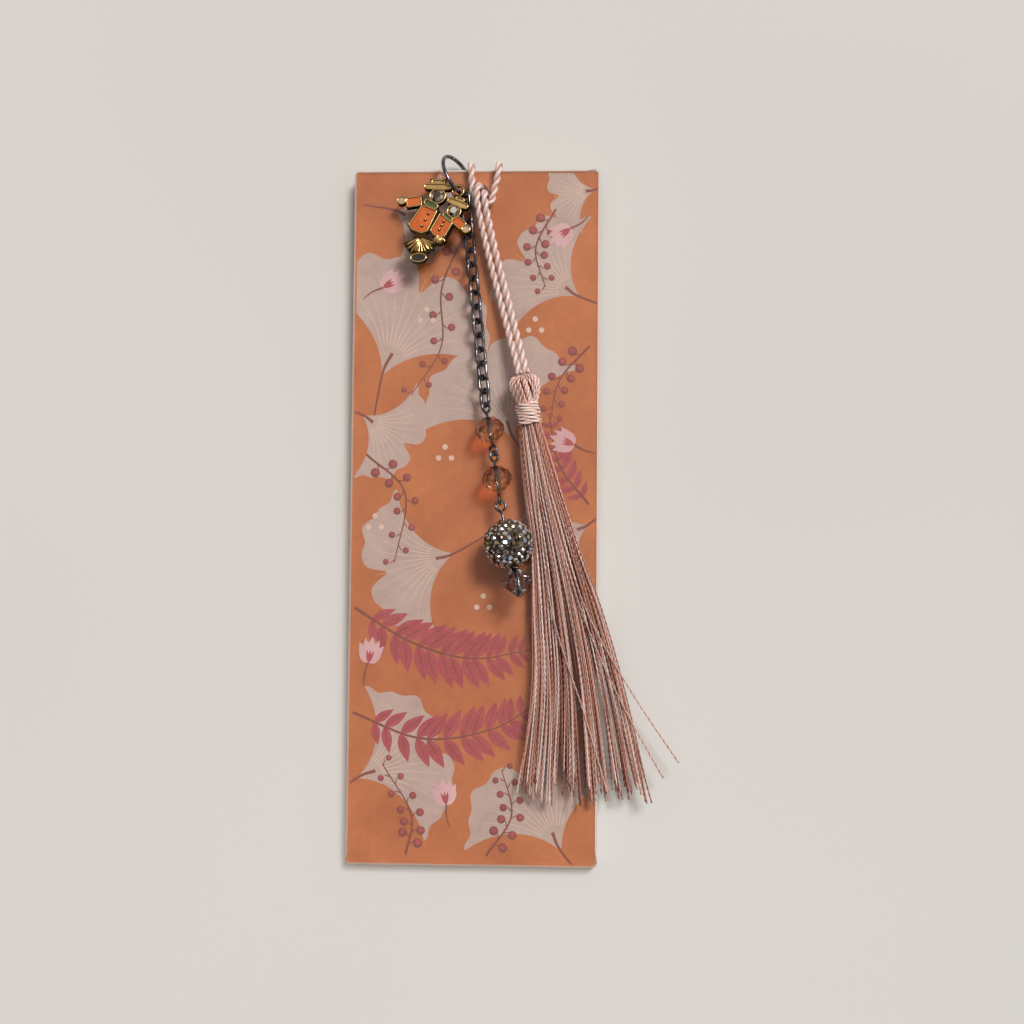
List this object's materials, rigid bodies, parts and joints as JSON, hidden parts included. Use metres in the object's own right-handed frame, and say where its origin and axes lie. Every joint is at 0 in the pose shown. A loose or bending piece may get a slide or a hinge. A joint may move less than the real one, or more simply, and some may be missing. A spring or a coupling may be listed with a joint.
{
  "type": "bookmark",
  "caption": "Clear resin bookmark slab over a printed sheet, with a jump ring through its hole carrying a charm and a beaded cable chain, and a hitched cord with a thread tassel.",
  "frame": {"origin": "middle of the slab's back face", "axes": "+Y along the slab towards its hole, +Z out of the printed front, +X to the right seen from the front"},
  "size_m": [0.0605, 0.1432, 0.0149],
  "materials": {
    "clear_resin": "polished clear cast resin",
    "printed_paper": "matt printed sheet, terracotta ground with leaf sprays",
    "gunmetal": "black-nickel plated wire",
    "gilt_alloy": "gold-tone cast alloy, darkened in the lines",
    "orange_enamel": "glossy soft enamel",
    "straw_enamel": "glossy soft enamel",
    "green_enamel": "glossy soft enamel",
    "peach_enamel": "glossy soft enamel",
    "black_enamel": "glossy soft enamel",
    "crystal": "foil-backed cut stones",
    "champagne_glass": "fire-polished faceted glass with a metallic coat",
    "smoky_glass": "faceted pressed glass",
    "pave_clay": "polymer clay that holds the stones",
    "satin_cord": "twisted satin cord, silvery pink",
    "silk_thread": "peach viscose thread with a silvery sheen"
  },
  "bodies": {
    "slab": {"base_slab": "clear_resin", "printed_sheet": "printed_paper", "clear_coat": "clear_resin", "cord_hitch": "satin_cord"},
    "jump_ring": {"jump_ring": "gunmetal"},
    "charm": {"charm_casting": "gilt_alloy", "charm_coat_enamel": "orange_enamel", "charm_hat_enamel": "straw_enamel", "charm_scarf_enamel": "green_enamel", "charm_hand_enamel": "peach_enamel", "charm_foot_enamel": "black_enamel", "charm_stones": "crystal"},
    "link_01": {"chain_link_01": "gunmetal"},
    "link_02": {"chain_link_02": "gunmetal"},
    "link_03": {"chain_link_03": "gunmetal"},
    "link_04": {"chain_link_04": "gunmetal"},
    "link_05": {"chain_link_05": "gunmetal"},
    "link_06": {"chain_link_06": "gunmetal"},
    "link_07": {"chain_link_07": "gunmetal"},
    "link_08": {"chain_link_08": "gunmetal"},
    "link_09": {"chain_link_09": "gunmetal"},
    "link_10": {"chain_link_10": "gunmetal"},
    "link_11": {"chain_link_11": "gunmetal"},
    "link_12": {"chain_link_12": "gunmetal"},
    "link_13": {"chain_link_13": "gunmetal"},
    "link_14": {"chain_link_14": "gunmetal"},
    "link_15": {"chain_link_15": "gunmetal"},
    "bead_link_1": {"eye_pin_1": "gunmetal"},
    "bead_1": {"bead_1": "champagne_glass"},
    "bead_link_2": {"eye_pin_2": "gunmetal"},
    "bead_2": {"bead_2": "champagne_glass"},
    "dangle": {"head_pin": "gunmetal"},
    "pave_ball": {"pave_core": "pave_clay", "pave_stones": "crystal"},
    "bicone": {"bicone_bead": "smoky_glass"},
    "tassel": {"cord_strands": "satin_cord", "tassel_head": "silk_thread", "tassel_neck_wrap": "silk_thread", "tassel_skirt": "silk_thread"}
  },
  "joints": [
    {"name": "ring_turn", "type": "hinge", "parent": "slab", "child": "jump_ring", "pos_m": [-0.00382, 0.06853, 0.00294], "axis": [-0.7967, -0.4058, -0.4478], "range_deg": [0, 25]},
    {"name": "charm_swing", "type": "hinge", "parent": "jump_ring", "child": "charm", "pos_m": [-0.00364, 0.06489, 0.00591], "axis": [-0.6031, 0.4863, 0.6322], "range_deg": [0, 16]},
    {"name": "link_01_lift", "type": "hinge", "parent": "jump_ring", "child": "link_01", "pos_m": [-0.00229, 0.06424, 0.0041], "axis": [-0.9942, -0.108, 0], "range_deg": [0, 4]},
    {"name": "link_02_lift", "type": "hinge", "parent": "link_01", "child": "link_02", "pos_m": [-0.00202, 0.06179, 0.00425], "axis": [-0.9942, -0.108, 0], "range_deg": [0, 5]},
    {"name": "link_03_lift", "type": "hinge", "parent": "link_02", "child": "link_03", "pos_m": [-0.00171, 0.05891, 0.00425], "axis": [-0.9942, -0.108, 0], "range_deg": [0, 6]},
    {"name": "link_04_lift", "type": "hinge", "parent": "link_03", "child": "link_04", "pos_m": [-0.00139, 0.05602, 0.00425], "axis": [-0.9942, -0.108, 0], "range_deg": [0, 8]},
    {"name": "link_05_lift", "type": "hinge", "parent": "link_04", "child": "link_05", "pos_m": [-0.00108, 0.05314, 0.00425], "axis": [-0.9942, -0.108, 0], "range_deg": [0, 14]},
    {"name": "link_06_lift", "type": "hinge", "parent": "link_05", "child": "link_06", "pos_m": [-0.00077, 0.05026, 0.00425], "axis": [-0.9942, -0.108, 0], "range_deg": [0, 14]},
    {"name": "link_07_lift", "type": "hinge", "parent": "link_06", "child": "link_07", "pos_m": [-0.00045, 0.04737, 0.00425], "axis": [-0.9942, -0.108, 0], "range_deg": [0, 14]},
    {"name": "link_08_lift", "type": "hinge", "parent": "link_07", "child": "link_08", "pos_m": [-0.00014, 0.04449, 0.00425], "axis": [-0.9942, -0.108, 0], "range_deg": [0, 14]},
    {"name": "link_09_lift", "type": "hinge", "parent": "link_08", "child": "link_09", "pos_m": [0.00017, 0.04161, 0.00425], "axis": [-0.9942, -0.108, 0], "range_deg": [0, 14]},
    {"name": "link_10_lift", "type": "hinge", "parent": "link_09", "child": "link_10", "pos_m": [0.00049, 0.03873, 0.00425], "axis": [-0.9942, -0.108, 0], "range_deg": [0, 14]},
    {"name": "link_11_lift", "type": "hinge", "parent": "link_10", "child": "link_11", "pos_m": [0.0008, 0.03584, 0.00425], "axis": [-0.9942, -0.108, 0], "range_deg": [0, 14]},
    {"name": "link_12_lift", "type": "hinge", "parent": "link_11", "child": "link_12", "pos_m": [0.00111, 0.03296, 0.0043], "axis": [-0.9942, -0.108, 0], "range_deg": [0, 14]},
    {"name": "link_13_lift", "type": "hinge", "parent": "link_12", "child": "link_13", "pos_m": [0.00143, 0.03008, 0.00445], "axis": [-0.9942, -0.108, 0], "range_deg": [0, 14]},
    {"name": "link_14_lift", "type": "hinge", "parent": "link_13", "child": "link_14", "pos_m": [0.00174, 0.02722, 0.00481], "axis": [-0.9942, -0.108, 0], "range_deg": [0, 14]},
    {"name": "link_15_lift", "type": "hinge", "parent": "link_14", "child": "link_15", "pos_m": [0.00204, 0.02439, 0.00536], "axis": [-0.9942, -0.108, 0], "range_deg": [0, 14]},
    {"name": "bead_link_1_lift", "type": "hinge", "parent": "link_15", "child": "bead_link_1", "pos_m": [0.00235, 0.02158, 0.00599], "axis": [-0.9848, -0.1736, 0], "range_deg": [0, 14]},
    {"name": "bead_1_spin", "type": "hinge", "parent": "bead_link_1", "child": "bead_1", "pos_m": [0.00323, 0.01658, 0.00603], "axis": [0.1736, -0.9848, 0.0087], "continuous": true},
    {"name": "bead_link_2_lift", "type": "hinge", "parent": "bead_link_1", "child": "bead_link_2", "pos_m": [0.00408, 0.01179, 0.00607], "axis": [-0.9903, -0.1392, 0], "range_deg": [0, 14]},
    {"name": "bead_2_spin", "type": "hinge", "parent": "bead_link_2", "child": "bead_2", "pos_m": [0.00478, 0.00677, 0.0063], "axis": [0.139, -0.9893, 0.0436], "continuous": true},
    {"name": "dangle_lift", "type": "hinge", "parent": "bead_link_2", "child": "dangle", "pos_m": [0.00546, 0.00195, 0.00651], "axis": [-0.9744, -0.225, 0], "range_deg": [0, 20]},
    {"name": "ball_spin", "type": "hinge", "parent": "dangle", "child": "pave_ball", "pos_m": [0.00736, -0.00626, 0.00807], "axis": [0.2212, -0.9581, 0.1822], "continuous": true},
    {"name": "bicone_spin", "type": "hinge", "parent": "dangle", "child": "bicone", "pos_m": [0.00908, -0.01373, 0.0095], "axis": [0.2212, -0.9581, 0.1822], "continuous": true},
    {"name": "tassel_swing", "type": "hinge", "parent": "slab", "child": "tassel", "pos_m": [0.00135, 0.0602, 0.0051], "axis": [-0.6691, 0, 0.7431], "range_deg": [0, 45]}
  ]
}
